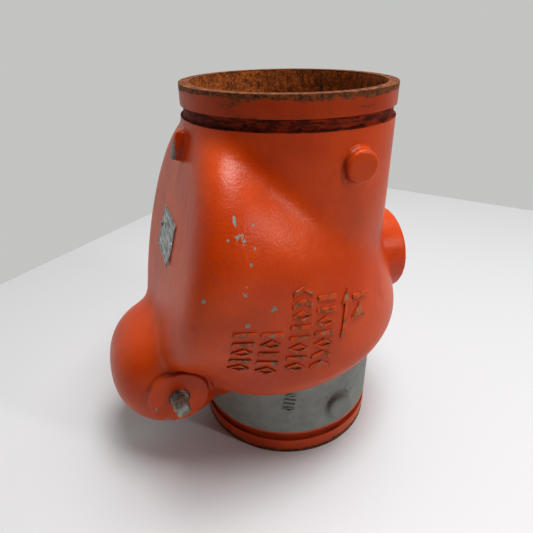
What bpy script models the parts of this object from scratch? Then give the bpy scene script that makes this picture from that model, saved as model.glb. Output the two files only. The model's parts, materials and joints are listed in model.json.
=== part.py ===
"""Swing check valve with grooved pipe ends.

A ductile iron casting holds an inclined seat ring. A rubber-faced clapper hangs on an arm from a hinge
pin in the barrel at the casting's side, and two torsion springs close it. Pipe plugs shut the pin bores.

Metres. The origin is at the middle of the foot of the bounding box, +Z is the way the fluid flows, and
the hinge pin lies along Y on the -X side. Everything that swings is drawn about the hinge pin with the
clapper lying flat, then tipped up by SEAT_TILT to rest on the seat.
"""
import math

import bmesh
import bpy
from mathutils import Matrix, Vector

# Pipe ends: NPS 8 cut grooves.
PIPE_R = 0.10955
BORE_R = 0.0998
LENGTH = 0.4191
END_LAND = 0.0198
GROOVE_WIDTH = 0.0111
GROOVE_R = 0.1072

# Places of the flow axis and of the hinge pin.
FLOW_X = 0.0435
PIN_X = FLOW_X - 0.1560
PIN_Z = 0.1070
SEAT_TILT = math.radians(13.6)
REACH = 0.1550

# Chamber: the round space that the clapper sweeps, from the seat up to the sloping side wall.
WALL = 0.0090
CHAMBER_R = 0.1415
FLOOR_DEPTH = 0.0400
SIDE_WALL_ANGLE = math.radians(74.3)
SIDE_WALL_OFFSET = 0.0265
SIDE_WALL_ROUNDING = 0.0250

# Hinge barrel and its bosses, measured along Y from the middle.
BARREL_R = 0.0690
BARREL_HALF = 0.0720
BOSS_R = 0.0330
SPOT_FACE_R = 0.0390
BOSS_FACE = 0.0775
INNER_BOSS_R = 0.0190
INNER_BOSS_FACE = 0.0500
PIN_R = 0.0080
PIN_HALF = 0.0660
BUSH_BORE_R = 0.0103
PORT_R = 0.0110
PORT_DEPTH = 0.0105
PLUG_HEAD = 0.0150

# Blank bosses. The side boss is (height of its axis, reach of its face from the flow axis, radius).
SIDE_BOSS = (0.2070, 0.1380, 0.0530)
SMALL_BOSS_R = 0.0155
SMALL_BOSS_FACE = 0.1150
SMALL_BOSS_X = FLOW_X + 0.0265
SMALL_BOSS_HEIGHTS = (0.0650, 0.3560)
NAMEPLATE_REACH = 0.1610

# The lug below the outlet groove, and the bars cast on both flanks as (across, level), with their face.
LUG_SIZE = (0.0140, 0.0120, 0.0300)
LUG_PLACE = (PIN_X + 0.0390, -0.0080, 0.3640)
MARK_SIZE = (0.0210, 0.0160, 0.0040)
MARK_PLACES = ((-0.0410, 0.2050), (-0.0180, 0.1900))
MARK_FACE = 0.1436

# Levels along the clapper's own normal, from the plane through the pin.
SEAT_LEVEL = -0.0130
SEAT_RING_FOOT = -0.0327
SEAT_RING_R = 0.1040
SEAT_BORE_R = 0.0940
LEDGE_R = 0.0960
LEDGE_FOOT = -0.0410
DISC_FOOT = -0.0060
DISC_TOP = -0.0005
DISC_R = 0.1025
HUB_FOOT = 0.0043
HUB_TOP = 0.0160
STUD_TOP = 0.0285
STUD_R = 0.0078
COTTER_LEVEL = 0.0235
SEAL_INNER_R = 0.0880
RETAINER_FOOT = -0.0110
SCREW_CIRCLE_R = 0.0700
SCREW_COUNT = 6

# The pieces on the pin, as distances from the middle.
KNUCKLE = (0.0100, 0.0270)
KNUCKLE_R = 0.0150
SPRING = (0.0285, 0.0450)
SPACER = (0.0455, 0.0497)

GAP = 0.0003
ROUND = 40
SMALL_ROUND = 20
FLOW = Vector((FLOW_X, 0, 0))
PIN = Vector((PIN_X, 0, PIN_Z))
TIPPED = Matrix.Translation(PIN) @ Matrix.Rotation(-SEAT_TILT, 4, "Y")

PAINT = ("orange_enamel", (0.62, 0.085, 0.012), 0.38, 0.0)
BRONZE = ("seat_bronze", (0.50, 0.33, 0.14), 0.35, 1.0)
RUBBER = ("black_rubber", (0.02, 0.02, 0.02), 0.75, 0.0)
IRON = ("cast_iron", (0.10, 0.095, 0.09), 0.6, 0.6)
STAINLESS = ("stainless_steel", (0.50, 0.50, 0.49), 0.3, 1.0)
BUSHING = ("bush_bronze", (0.45, 0.30, 0.12), 0.4, 1.0)
PLUG_STEEL = ("plug_steel", (0.23, 0.23, 0.21), 0.5, 0.9)
PLATE = ("plate_aluminium", (0.45, 0.47, 0.47), 0.35, 1.0)


def clear_scene():
    for old in list(bpy.data.objects):
        bpy.data.objects.remove(old, do_unlink=True)


def finish_of(spec):
    name, colour, roughness, metallic = spec
    finish = bpy.data.materials.get(name)
    if finish is None:
        finish = bpy.data.materials.new(name)
        finish.use_nodes = True
        shader = finish.node_tree.nodes["Principled BSDF"]
        shader.inputs["Base Color"].default_value = (*colour, 1.0)
        shader.inputs["Roughness"].default_value = roughness
        shader.inputs["Metallic"].default_value = metallic
    return finish


def place(name, shape, spec, matrix=None):
    """Make the object NAME of a bmesh; matrix carries the mesh to its place and stays on the object."""
    bmesh.ops.remove_doubles(shape, verts=shape.verts, dist=1e-6)
    bmesh.ops.recalc_face_normals(shape, faces=shape.faces)
    mesh = bpy.data.meshes.new(name)
    shape.to_mesh(mesh)
    shape.free()
    mesh.shade_smooth()
    mesh.set_sharp_from_angle(angle=math.radians(35))
    mesh.materials.append(finish_of(spec))
    item = bpy.data.objects.new(name, mesh)
    if matrix is not None:
        item.matrix_world = matrix
    bpy.context.scene.collection.objects.link(item)
    return item


def combine(item, operation, tools):
    """Join bmeshes to the object, or cut them away, in one live Boolean with a group of hidden tools.

    Each tool is a pair of its bmesh and the matrix that carries it to its place."""
    step = item.modifiers.new(operation.lower(), "BOOLEAN")
    step.operation = operation
    step.solver = "EXACT"
    step.operand_type = "COLLECTION"
    step.collection = bpy.data.collections.new(f"{item.name}_{step.name}")
    for shape, matrix in tools:
        tool = place(f"tool_{len(bpy.data.objects):03d}", shape, IRON, matrix)
        tool.hide_render = True
        tool.display_type = "WIRE"
        step.collection.objects.link(tool)


def turned(profile, steps=ROUND):
    """A solid of revolution about Z from a closed outline of (radius, height) points."""
    shape = bmesh.new()
    verts = [shape.verts.new((radius, 0, height)) for radius, height in profile]
    edges = []
    for start, end in zip(verts, verts[1:] + verts[:1]):
        if start.co.x > 0 or end.co.x > 0:
            edges.append(shape.edges.new((start, end)))
    bmesh.ops.spin(shape, geom=verts + edges, cent=(0, 0, 0), axis=(0, 0, 1), angle=math.tau,
                   steps=steps, use_merge=True, use_duplicate=False)
    return shape


def rod(radius, start, end, steps=ROUND):
    return turned([(0, start), (radius, start), (radius, end), (0, end)], steps)


def tube(inner, outer, start, end, steps=ROUND):
    return turned([(inner, start), (outer, start), (outer, end), (inner, end)], steps)


def block(size, centre):
    shape = bmesh.new()
    place_box = Matrix.Translation(centre) @ Matrix.Diagonal((*size, 1))
    bmesh.ops.create_cube(shape, size=1, matrix=place_box)
    return shape


def joined(*shapes):
    """Several closed bodies that don't meet, in one bmesh."""
    whole = shapes[0]
    for extra in shapes[1:]:
        mesh = bpy.data.meshes.new("loose")
        extra.to_mesh(mesh)
        extra.free()
        whole.from_mesh(mesh)
        bpy.data.meshes.remove(mesh)
    return whole


def along_y(origin, side=1):
    """A placing that turns +Z outwards along Y, to the far side (+1) or the near side (-1)."""
    return Matrix.Translation(origin) @ Matrix.Rotation(-side * math.pi / 2, 4, "X")


def along_x(origin):
    return Matrix.Translation(origin) @ Matrix.Rotation(math.pi / 2, 4, "Y")


def loft(rings, steps):
    """A closed solid through circles, each given by the matrix that carries a unit circle there."""
    shape = bmesh.new()
    loops = []
    for ring in rings:
        loops.append(bmesh.ops.create_circle(shape, segments=steps, radius=1, matrix=ring)["verts"])
    for lower, upper in zip(loops, loops[1:]):
        edges = [edge for edge in shape.edges if all(v in lower for v in edge.verts)]
        edges += [edge for edge in shape.edges if all(v in upper for v in edge.verts)]
        bmesh.ops.bridge_loops(shape, edges=edges)
    shape.faces.new(loops[0])
    shape.faces.new(loops[-1])
    return shape


def chamber(inset, steps, floor_steps=4, sweep_steps=7, corner_steps=4):
    """The clapper's swept space, inset by a wall: a dished floor, circles swung about the pin, then
    the sloping side wall with its rounded corner."""
    radius = CHAMBER_R - inset
    depth = FLOOR_DEPTH - inset
    corner = SIDE_WALL_ROUNDING - inset
    flat_offset = SIDE_WALL_OFFSET - SIDE_WALL_ROUNDING

    def ring(angle, lift, size):
        swing = Matrix.Translation(PIN) @ Matrix.Rotation(-angle, 4, "Y")
        return swing @ Matrix.Translation((REACH, 0, lift)) @ Matrix.Diagonal((size, size, 1, 1))

    rings = []
    for step in range(floor_steps):
        slope = math.pi / 2 * (1 - (step + 0.35) / floor_steps)
        rings.append(ring(SEAT_TILT, -depth * math.sin(slope), radius * math.cos(slope)))
    for step in range(sweep_steps + 1):
        angle = SEAT_TILT + (SIDE_WALL_ANGLE - SEAT_TILT) * step / sweep_steps
        rings.append(ring(angle, 0, radius))
    for step in range(corner_steps + 1):
        turn = math.pi / 2 * step / corner_steps
        lift = flat_offset + corner * math.sin(turn)
        rings.append(ring(SIDE_WALL_ANGLE, lift, radius - corner * (1 - math.cos(turn))))
    return loft(rings, steps)


def barrel_outline(inset, squareness=2.8, points=5):
    """The superellipse outline of the hinge barrel, short of its poles, as (radius, distance) points."""
    outline = []
    for step in range(-points, points + 1):
        turn = math.pi / 2 * step / (points + 1)
        across = (BARREL_R - inset) * math.cos(turn) ** (2 / squareness)
        along = (BARREL_HALF - inset) * abs(math.sin(turn)) ** (2 / squareness)
        outline.append((across, math.copysign(along, step)))
    return outline


def barrel():
    return turned([(0, -BARREL_HALF)] + barrel_outline(0) + [(0, BARREL_HALF)], 32)


def barrel_hollow():
    """The barrel's inside, which leaves a boss for the pin standing in from each end."""
    outline = barrel_outline(WALL)
    depth = outline[-1][1]
    boss = [(INNER_BOSS_R, depth), (INNER_BOSS_R, INNER_BOSS_FACE), (0, INNER_BOSS_FACE)]
    mirrored = [(radius, -distance) for radius, distance in reversed(boss)]
    return turned(mirrored + outline + boss, 28)


def outer_shapes():
    """What stands outside the chamber: the pipe ends, the hinge barrel, the blank bosses, a lug and the
    bars cast on the flanks."""
    height, face, radius = SIDE_BOSS
    side_boss = turned([(0, 0.06), (radius, 0.06), (radius, face - 0.003), (radius - 0.003, face), (0, face)])
    yield side_boss, along_x((FLOW_X, 0, height))
    for height in SMALL_BOSS_HEIGHTS:
        small = turned([(0, 0.095), (SMALL_BOSS_R, 0.095), (SMALL_BOSS_R, SMALL_BOSS_FACE - 0.002),
                        (SMALL_BOSS_R - 0.002, SMALL_BOSS_FACE), (0, SMALL_BOSS_FACE)], SMALL_ROUND)
        yield small, along_y((SMALL_BOSS_X, 0, height), -1)
    yield rod(PIPE_R, 0, LENGTH), Matrix.Translation(FLOW)
    yield barrel(), along_y(PIN)
    lean = Matrix.Rotation(math.pi / 2 - SIDE_WALL_ANGLE, 4, "Y")
    yield block(LUG_SIZE, (0, 0, 0)), Matrix.Translation(LUG_PLACE) @ lean
    for side in (-1, 1):
        for across, level in MARK_PLACES:
            middle = (across, side * (MARK_FACE - MARK_SIZE[1] / 2), level)
            yield block(MARK_SIZE, middle), Matrix()


def hinge_spots():
    """The recesses that clear the flanks round the hinge bosses."""
    for side in (-1, 1):
        yield rod(SPOT_FACE_R, BOSS_FACE - 0.004, 0.14), along_y(PIN, side)


def hinge_bosses():
    for side in (-1, 1):
        yield rod(BOSS_R, 0.055, BOSS_FACE, 36), along_y(PIN, side)


def inlet_bore():
    """The upright bore below the seat, ended along the seat's slope."""
    inlet = rod(BORE_R, -0.01, 0.25)
    bmesh.ops.translate(inlet, vec=FLOW, verts=inlet.verts)
    cut = bmesh.ops.bisect_plane(inlet, geom=inlet.verts[:] + inlet.edges[:] + inlet.faces[:],
                                 plane_co=TIPPED @ Vector((REACH, 0, LEDGE_FOOT)),
                                 plane_no=TIPPED.to_3x3() @ Vector((0, 0, 1)), clear_outer=True)
    rim = [piece for piece in cut["geom_cut"] if isinstance(piece, bmesh.types.BMEdge)]
    bmesh.ops.contextual_create(inlet, geom=rim)
    return inlet


def cavities():
    """The chamber, the barrel's inside, the bores and the seat's counterbore."""
    disc_axis = TIPPED @ Matrix.Translation((REACH, 0, 0))
    yield chamber(WALL, 36), Matrix()
    yield barrel_hollow(), along_y(PIN)
    yield inlet_bore(), Matrix()
    yield rod(LEDGE_R, LEDGE_FOOT - 0.001, -0.024), disc_axis
    yield rod(SEAT_RING_R + GAP, SEAT_RING_FOOT - GAP, -0.012), disc_axis
    yield rod(BORE_R, 0.2, LENGTH + 0.01), Matrix.Translation(FLOW)


def machining():
    """The bushes' bores with their plug ports, and the coupling grooves."""
    for side in (-1, 1):
        bore = turned([(0, 0.04), (BUSH_BORE_R, 0.04), (BUSH_BORE_R, BOSS_FACE - PORT_DEPTH),
                       (PORT_R, BOSS_FACE - PORT_DEPTH), (PORT_R, 0.09), (0, 0.09)], SMALL_ROUND)
        yield bore, along_y(PIN, side)
    for foot in (END_LAND, LENGTH - END_LAND - GROOVE_WIDTH):
        yield tube(GROOVE_R, PIPE_R + 0.02, foot, foot + GROOVE_WIDTH), Matrix.Translation(FLOW)


def body_casting():
    casting = place("body_casting", chamber(0, 44), PAINT)
    combine(casting, "UNION", outer_shapes())
    combine(casting, "DIFFERENCE", hinge_spots())
    combine(casting, "UNION", hinge_bosses())
    combine(casting, "DIFFERENCE", [*cavities(), *machining()])


def seat_ring():
    """A bronze ring in the casting's counterbore, with a raised lip for the seal and an O-ring groove."""
    profile = [(SEAT_BORE_R, SEAT_RING_FOOT), (SEAT_RING_R, SEAT_RING_FOOT),
               (SEAT_RING_R, -0.0300), (SEAT_RING_R - 0.0024, -0.0300),
               (SEAT_RING_R - 0.0024, -0.0270), (SEAT_RING_R, -0.0270),
               (SEAT_RING_R, -0.0170), (SEAT_RING_R - 0.0040, SEAT_LEVEL - 0.0015),
               (SEAT_RING_R - 0.0060, SEAT_LEVEL), (SEAT_BORE_R + 0.0010, SEAT_LEVEL),
               (SEAT_BORE_R, SEAT_LEVEL - 0.0010)]
    axis = TIPPED @ Matrix.Translation((REACH, 0, 0))
    place("seat_ring", turned(profile), BRONZE, axis)
    cord_r = 0.0010
    middle = Vector((SEAT_RING_R - 0.0010, -0.0285))
    cord = []
    for step in range(6):
        turn = math.tau * step / 6
        cord.append((middle.x + cord_r * math.cos(turn), middle.y + cord_r * math.sin(turn)))
    place("seat_o_ring", turned(cord), RUBBER, axis)


def clapper_disc():
    """The clapper plate, with its stud and six blind holes for the retainer screws underneath."""
    profile = [(0, DISC_FOOT), (DISC_R, DISC_FOOT), (DISC_R, DISC_TOP - 0.0010),
               (DISC_R - 0.0010, DISC_TOP), (0.0300, DISC_TOP), (0.0200, HUB_FOOT - GAP),
               (STUD_R, HUB_FOOT - GAP), (STUD_R, STUD_TOP - 0.0015),
               (STUD_R - 0.0015, STUD_TOP), (0, STUD_TOP)]
    axis = TIPPED @ Matrix.Translation((REACH, 0, 0))
    disc = place("clapper_disc", turned(profile), IRON, axis)
    holes = []
    for index in range(SCREW_COUNT):
        hole = rod(0.0033, DISC_FOOT - 0.002, -0.0020, 8)
        bmesh.ops.translate(hole, vec=screw_place(index), verts=hole.verts)
        holes.append(hole)
    combine(disc, "DIFFERENCE", [(joined(*holes), axis)])
    cross_hole = rod(0.0018, -0.012, 0.012, 10)
    combine(disc, "DIFFERENCE", [(cross_hole, axis @ along_y((0, 0, COTTER_LEVEL)))])


def screw_place(index):
    turn = math.tau * (index + 0.5) / SCREW_COUNT
    return Vector((SCREW_CIRCLE_R * math.cos(turn), SCREW_CIRCLE_R * math.sin(turn), 0))


def clapper_facing():
    """The rubber seal ring, the plate that clamps it, and the screws that hold the plate."""
    axis = TIPPED @ Matrix.Translation((REACH, 0, 0))
    foot = SEAT_LEVEL + GAP
    top = DISC_FOOT - GAP
    seal = [(SEAL_INNER_R, foot + 0.0005), (SEAL_INNER_R + 0.0005, foot), (0.1005, foot),
            (0.1015, foot + 0.0010), (0.1015, top), (SEAL_INNER_R, top)]
    place("disc_seal", turned(seal), RUBBER, axis)
    plate_r = SEAL_INNER_R - 0.0005
    plate = [(0, RETAINER_FOOT), (plate_r - 0.0010, RETAINER_FOOT), (plate_r, RETAINER_FOOT + 0.0010),
             (plate_r, top), (0, top)]
    retainer = place("seal_retainer", turned(plate), STAINLESS, axis)
    holes = []
    for index in range(SCREW_COUNT):
        hole = rod(0.0034, RETAINER_FOOT - 0.002, top + 0.002, 8)
        bmesh.ops.translate(hole, vec=screw_place(index), verts=hole.verts)
        holes.append(hole)
        head = RETAINER_FOOT - GAP
        screw = turned([(0, head - 0.0035), (0.0042, head - 0.0035), (0.0050, head - 0.0028),
                        (0.0050, head), (0.0030, head), (0.0030, -0.0025), (0, -0.0025)], 8)
        bmesh.ops.translate(screw, vec=screw_place(index), verts=screw.verts)
        place(f"retainer_screw_{index + 1}", screw, STAINLESS, axis)
    combine(retainer, "DIFFERENCE", [(joined(*holes), axis)])


def clapper_arm():
    """A forged arm: a hub round the stud, a beam over the plate, and two knuckles on the pin."""
    hub = tube(STUD_R + GAP, 0.0220, HUB_FOOT, HUB_TOP, SMALL_ROUND)
    bmesh.ops.translate(hub, vec=(REACH, 0, 0), verts=hub.verts)
    arm = place("clapper_arm", hub, IRON, TIPPED)
    beam = bmesh.new()
    side = [(REACH - 0.015, 0.0048), (0.0500, 0.0018), (0.0080, -0.0100), (0.0040, 0.0090),
            (0.0500, 0.0130), (REACH - 0.015, 0.0150)]
    verts = [beam.verts.new((u, -0.0270, n)) for u, n in side]
    face = beam.faces.new(verts)
    grown = bmesh.ops.extrude_face_region(beam, geom=[face])["geom"]
    far_side = [piece for piece in grown if isinstance(piece, bmesh.types.BMVert)]
    bmesh.ops.translate(beam, vec=(0, 0.0540, 0), verts=far_side)
    for vert in beam.verts:
        vert.co.y *= 1 - 0.45 * max(0, vert.co.x) / REACH
    combine(arm, "UNION", [(beam, TIPPED)])
    knuckles = rod(KNUCKLE_R, -KNUCKLE[1], KNUCKLE[1], SMALL_ROUND)
    combine(arm, "UNION", [(knuckles, TIPPED @ along_y((0, 0, 0)))])
    slot = block((0.090, 2 * KNUCKLE[0], 0.060), (0.010, 0, 0))
    combine(arm, "DIFFERENCE", [(slot, TIPPED)])
    bore = rod(BUSH_BORE_R, -0.040, 0.040, SMALL_ROUND)
    combine(arm, "DIFFERENCE", [(bore, TIPPED @ along_y((0, 0, 0)))])
    clearance = rod(STUD_R + GAP, -0.01, 0.03, SMALL_ROUND)
    combine(arm, "DIFFERENCE", [(clearance, TIPPED @ Matrix.Translation((REACH, 0, 0)))])


def clapper_nut():
    """The washer, hexagon nut and cotter pin that hold the disc's stud in the arm."""
    axis = TIPPED @ Matrix.Translation((REACH, 0, 0))
    washer_top = HUB_TOP + GAP + 0.0017
    place("disc_washer", tube(STUD_R + GAP, 0.0150, HUB_TOP + GAP, washer_top, SMALL_ROUND), STAINLESS, axis)
    nut = place("disc_nut", rod(0.0138, washer_top + GAP, STUD_TOP - 0.0020, 6), STAINLESS, axis)
    combine(nut, "DIFFERENCE", [(rod(STUD_R + GAP, 0.0100, 0.0400, SMALL_ROUND), axis)])
    slot = block((0.0036, 0.0400, 0.0060), (0, 0, COTTER_LEVEL + 0.0012))
    combine(nut, "DIFFERENCE", [(slot, axis)])
    place("cotter_pin", rod(0.0014, -0.0160, 0.0160, 10), STAINLESS, axis @ along_y((0, 0, COTTER_LEVEL)))


def hinge():
    """The pin with its bushes, spacers and springs, and the plugs that close the casting's bores."""
    ends = [(0, -PIN_HALF), (PIN_R - 0.0010, -PIN_HALF), (PIN_R, -PIN_HALF + 0.0010),
            (PIN_R, PIN_HALF - 0.0010), (PIN_R - 0.0010, PIN_HALF), (0, PIN_HALF)]
    place("hinge_pin", turned(ends, SMALL_ROUND), STAINLESS, along_y(PIN))
    bush_inner = PIN_R + GAP
    bush_outer = BUSH_BORE_R - GAP
    for name, side in (("front", -1), ("rear", 1)):
        axis = along_y(PIN, side)
        swinging = TIPPED @ along_y((0, 0, 0), side)
        body_bush = tube(bush_inner, bush_outer, INNER_BOSS_FACE, BOSS_FACE - PORT_DEPTH - 0.002, SMALL_ROUND)
        place(f"body_bush_{name}", body_bush, BUSHING, axis)
        arm_bush = tube(bush_inner, bush_outer, KNUCKLE[0], KNUCKLE[1], SMALL_ROUND)
        place(f"arm_bush_{name}", arm_bush, BUSHING, swinging)
        place(f"hinge_spacer_{name}", tube(0.0085, 0.0140, *SPACER, SMALL_ROUND), STAINLESS, axis)
        place(f"torsion_spring_{name}", tube(0.0110, 0.0145, *SPRING, SMALL_ROUND), STAINLESS, axis)
        plug = [(0, BOSS_FACE - PORT_DEPTH + 0.0007), (PORT_R - GAP, BOSS_FACE - PORT_DEPTH + 0.0007),
                (PORT_R - GAP, BOSS_FACE + 0.0035), (PORT_R - 0.0010, BOSS_FACE + 0.0045),
                (0, BOSS_FACE + 0.0045)]
        item = place(f"hinge_plug_{name}", turned(plug, SMALL_ROUND), PLUG_STEEL, axis)
        head = block((PLUG_HEAD, PLUG_HEAD, 0.0200), (0, 0, BOSS_FACE + 0.0105))
        upright = axis @ Matrix.Rotation(math.radians(20), 4, "Z")
        combine(item, "UNION", [(head, upright)])


def nameplate():
    """A blank aluminium plate on the sloping side wall, held by two drive pins."""
    slope = Matrix.Translation(PIN) @ Matrix.Rotation(-SIDE_WALL_ANGLE, 4, "Y")
    middle = slope @ Matrix.Translation((NAMEPLATE_REACH, 0, SIDE_WALL_OFFSET))
    plate = place("nameplate", block((0.0450, 0.0700, 0.0010), (0, 0, GAP + 0.0005)), PLATE, middle)
    for name, side in (("front", -1), ("rear", 1)):
        hole = rod(0.0018, -0.002, 0.004, 10)
        bmesh.ops.translate(hole, vec=(0, 0.0310 * side, 0), verts=hole.verts)
        combine(plate, "DIFFERENCE", [(hole, middle)])
        pin = turned([(0, GAP), (0.0014, GAP), (0.0014, 0.0016), (0.0030, 0.0016), (0.0026, 0.0026),
                      (0.0014, 0.0031), (0, 0.0031)], 10)
        bmesh.ops.translate(pin, vec=(0, 0.0310 * side, 0), verts=pin.verts)
        place(f"nameplate_pin_{name}", pin, STAINLESS, middle)


clear_scene()
body_casting()
seat_ring()
clapper_disc()
clapper_facing()
clapper_arm()
clapper_nut()
hinge()
nameplate()
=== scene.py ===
import json
import math

import bmesh
import bpy
from mathutils import Matrix, Vector


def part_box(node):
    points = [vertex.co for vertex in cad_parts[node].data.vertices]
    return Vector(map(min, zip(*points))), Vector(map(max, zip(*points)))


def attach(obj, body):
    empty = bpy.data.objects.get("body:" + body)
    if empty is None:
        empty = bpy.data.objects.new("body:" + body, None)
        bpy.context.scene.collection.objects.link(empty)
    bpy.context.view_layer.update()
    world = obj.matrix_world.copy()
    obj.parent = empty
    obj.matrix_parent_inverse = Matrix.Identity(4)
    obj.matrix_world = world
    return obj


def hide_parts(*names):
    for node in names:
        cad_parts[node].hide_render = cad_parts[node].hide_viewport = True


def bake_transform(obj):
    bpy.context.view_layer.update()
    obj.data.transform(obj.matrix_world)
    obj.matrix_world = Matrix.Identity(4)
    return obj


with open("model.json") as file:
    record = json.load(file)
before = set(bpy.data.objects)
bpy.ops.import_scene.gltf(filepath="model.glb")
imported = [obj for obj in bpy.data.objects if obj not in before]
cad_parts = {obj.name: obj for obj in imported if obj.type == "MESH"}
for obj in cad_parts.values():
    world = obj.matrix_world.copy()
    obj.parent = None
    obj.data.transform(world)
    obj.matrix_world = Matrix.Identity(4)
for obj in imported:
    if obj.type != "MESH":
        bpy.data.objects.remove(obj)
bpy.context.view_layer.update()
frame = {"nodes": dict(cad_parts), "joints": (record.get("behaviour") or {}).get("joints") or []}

# Studio: a pale floor, a big soft light overhead, a soft light from the front right that draws the
# highlight down the shoulder, and a pale room that is darker on the near side.
pin = Vector(frame["joints"][0]["pos_m"])
flow = Vector((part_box("body_casting")[1].x - 0.138, 0, 0))
valve_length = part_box("body_casting")[1].z


def linear(code):
    """An sRGB hex colour as linear RGBA."""
    parts = [int(code[i:i + 2], 16) / 255 for i in (1, 3, 5)]
    return (*[c / 12.92 if c <= 0.04045 else ((c + 0.055) / 1.055) ** 2.4 for c in parts], 1.0)


def add_node(tree, kind, inputs=(), output=None, **settings):
    """Add a shader node with its settings and give back an output. Its inputs are values or sockets to
    link, either a list in the node's own order or a dict by name."""
    node = tree.nodes.new("ShaderNode" + kind)
    for name, value in settings.items():
        setattr(node, name, value)
    shown = [socket for socket in node.inputs if socket.enabled]
    for key, value in (inputs.items() if isinstance(inputs, dict) else enumerate(inputs)):
        socket = node.inputs[key] if isinstance(key, str) else shown[key]
        if isinstance(value, bpy.types.NodeSocket):
            tree.links.new(value, socket)
        else:
            socket.default_value = value
    return node.outputs[output] if output else next(socket for socket in node.outputs if socket.enabled)


def new_material(name, colour, roughness, metallic=0.0):
    """A Principled material with its plain values set; its patterns are linked after."""
    material = bpy.data.materials.new(name)
    material.use_nodes = True
    shader = material.node_tree.nodes["Principled BSDF"]
    shader.inputs["Base Color"].default_value = linear(colour)
    shader.inputs["Roughness"].default_value = roughness
    shader.inputs["Metallic"].default_value = metallic
    return material, material.node_tree, shader


def per_mm(size):
    """The scale of a pattern whose features are this many millimetres across."""
    return 1000 / size


scene = bpy.context.scene
scene.view_settings.view_transform = "Standard"
scene.view_settings.look = "Medium High Contrast"
camera_data = bpy.data.cameras.new("camera")
camera_data.sensor_width = 36
camera_data.lens = 30.5485
camera = bpy.data.objects.new("camera", camera_data)
camera.location = (flow.x - 0.1851, -0.4581, 0.4715)
camera.rotation_euler = [math.radians(angle) for angle in (61.421, 0.699, -19.585)]
scene.collection.objects.link(camera)
scene.camera = camera

world = bpy.data.worlds.new("pale_room")
world.use_nodes = True
tree = world.node_tree
direction = add_node(tree, "TexCoord", output="Generated")
depth = add_node(tree, "SeparateXYZ", [direction], output="Y")
depth = add_node(tree, "MapRange", [depth, -0.65, 0.5], interpolation_type="SMOOTHSTEP")
room = add_node(tree, "Mix", [depth, linear("#161616"), linear("#b8b9b7")], data_type="RGBA")
tree.links.new(room, tree.nodes["Background"].inputs["Color"])
scene.world = world

for name, place, aim, width, height, power in (
        ("light_overhead", (0.32, -0.20, 2.1), (0.05, -0.05, 0.2), 1.0, 1.0, 33),
        ("light_front", (0.88, -1.03, 0.90), (-0.05, 0, 0.3), 0.13, 0.42, 3.7)):
    light = bpy.data.lights.new(name, "AREA")
    light.shape = "RECTANGLE"
    light.size = width
    light.size_y = height
    light.energy = power
    lamp = bpy.data.objects.new(name, light)
    lamp.location = place
    lamp.rotation_euler = (Vector(aim) - Vector(place)).to_track_quat("-Z", "Y").to_euler()
    scene.collection.objects.link(lamp)

shape = bmesh.new()
bmesh.ops.create_grid(shape, x_segments=2, y_segments=2, size=1.6,
                      matrix=Matrix.Translation((0.15, -1.15, 0)) @ Matrix.Rotation(math.radians(40), 4, "Z"))
floor_mesh = bpy.data.meshes.new("floor")
shape.to_mesh(floor_mesh)
shape.free()
floor = bpy.data.objects.new("floor", floor_mesh)
scene.collection.objects.link(floor)
floor_paint, tree, shader = new_material("white_laminate", "#dcdcde", 0.5)
place = add_node(tree, "TexCoord", output="Object")
spots = add_node(tree, "TexNoise", [place, per_mm(900)])
shade = add_node(tree, "Mix", [spots, linear("#d8d8da"), linear("#e0e0e2")], data_type="RGBA")
tree.links.new(shade, shader.inputs["Base Color"])
floor_mesh.materials.append(floor_paint)

# Body casting: one ductile iron sand casting, sprayed with orange enamel. Only the faces, grooves,
# bores and the seat's counterbore are machined, and they rust. The skin is made first with the soft
# fillets of a casting, then the marks stand up from it, and the cavities are cut into it last.
WALL = 0.0090
CHAMBER_R = 0.1415
REACH = 0.1550
SEAT_TILT = math.radians(13.6)
SIDE_WALL_ANGLE = math.radians(74.3)
SIDE_WALL_OFFSET = 0.0265
PIPE_R = 0.10955
BORE_R = 0.0998
GROOVE_R = 0.1072
END_LAND = 0.0198
GROOVE_WIDTH = 0.0111
BOSS_FACE = 0.0775
TIPPED = Matrix.Translation(pin) @ Matrix.Rotation(-SEAT_TILT, 4, "Y")
DISC_AXIS = TIPPED @ Matrix.Translation((REACH, 0, 0))


def finish_piece(name, shape, *materials, body="body", slot=None, sharp=35, matrix=None):
    """Make the piece NAME of a bmesh, with its place in its mesh, and let it ride on a body."""
    if matrix is not None:
        bmesh.ops.transform(shape, matrix=matrix, verts=shape.verts)
    bmesh.ops.remove_doubles(shape, verts=shape.verts, dist=1e-6)
    bmesh.ops.recalc_face_normals(shape, faces=shape.faces)
    mesh = bpy.data.meshes.new(name)
    shape.to_mesh(mesh)
    shape.free()
    mesh.shade_smooth()
    mesh.set_sharp_from_angle(angle=math.radians(sharp))
    for material in materials:
        mesh.materials.append(material)
    piece = bpy.data.objects.new(name, mesh)
    scene.collection.objects.link(piece)
    if body:
        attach(piece, body)
    return piece


def turned(profile, steps):
    """A solid of revolution about Z from a closed outline of (radius, height) points."""
    shape = bmesh.new()
    verts = [shape.verts.new((radius, 0, height)) for radius, height in profile]
    edges = []
    for start, end in zip(verts, verts[1:] + verts[:1]):
        if start.co.x > 0 or end.co.x > 0:
            edges.append(shape.edges.new((start, end)))
    bmesh.ops.spin(shape, geom=verts + edges, cent=(0, 0, 0), axis=(0, 0, 1), angle=math.tau,
                   steps=steps, use_merge=True, use_duplicate=False)
    return shape


def rod(radius, start, end, steps=96, chamfer=0.0):
    """A plain turned rod, its edges broken by a chamfer."""
    if chamfer:
        profile = [(0, start), (radius - chamfer, start), (radius, start + chamfer),
                   (radius, end - chamfer), (radius - chamfer, end), (0, end)]
    else:
        profile = [(0, start), (radius, start), (radius, end), (0, end)]
    return turned(profile, steps)


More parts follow.
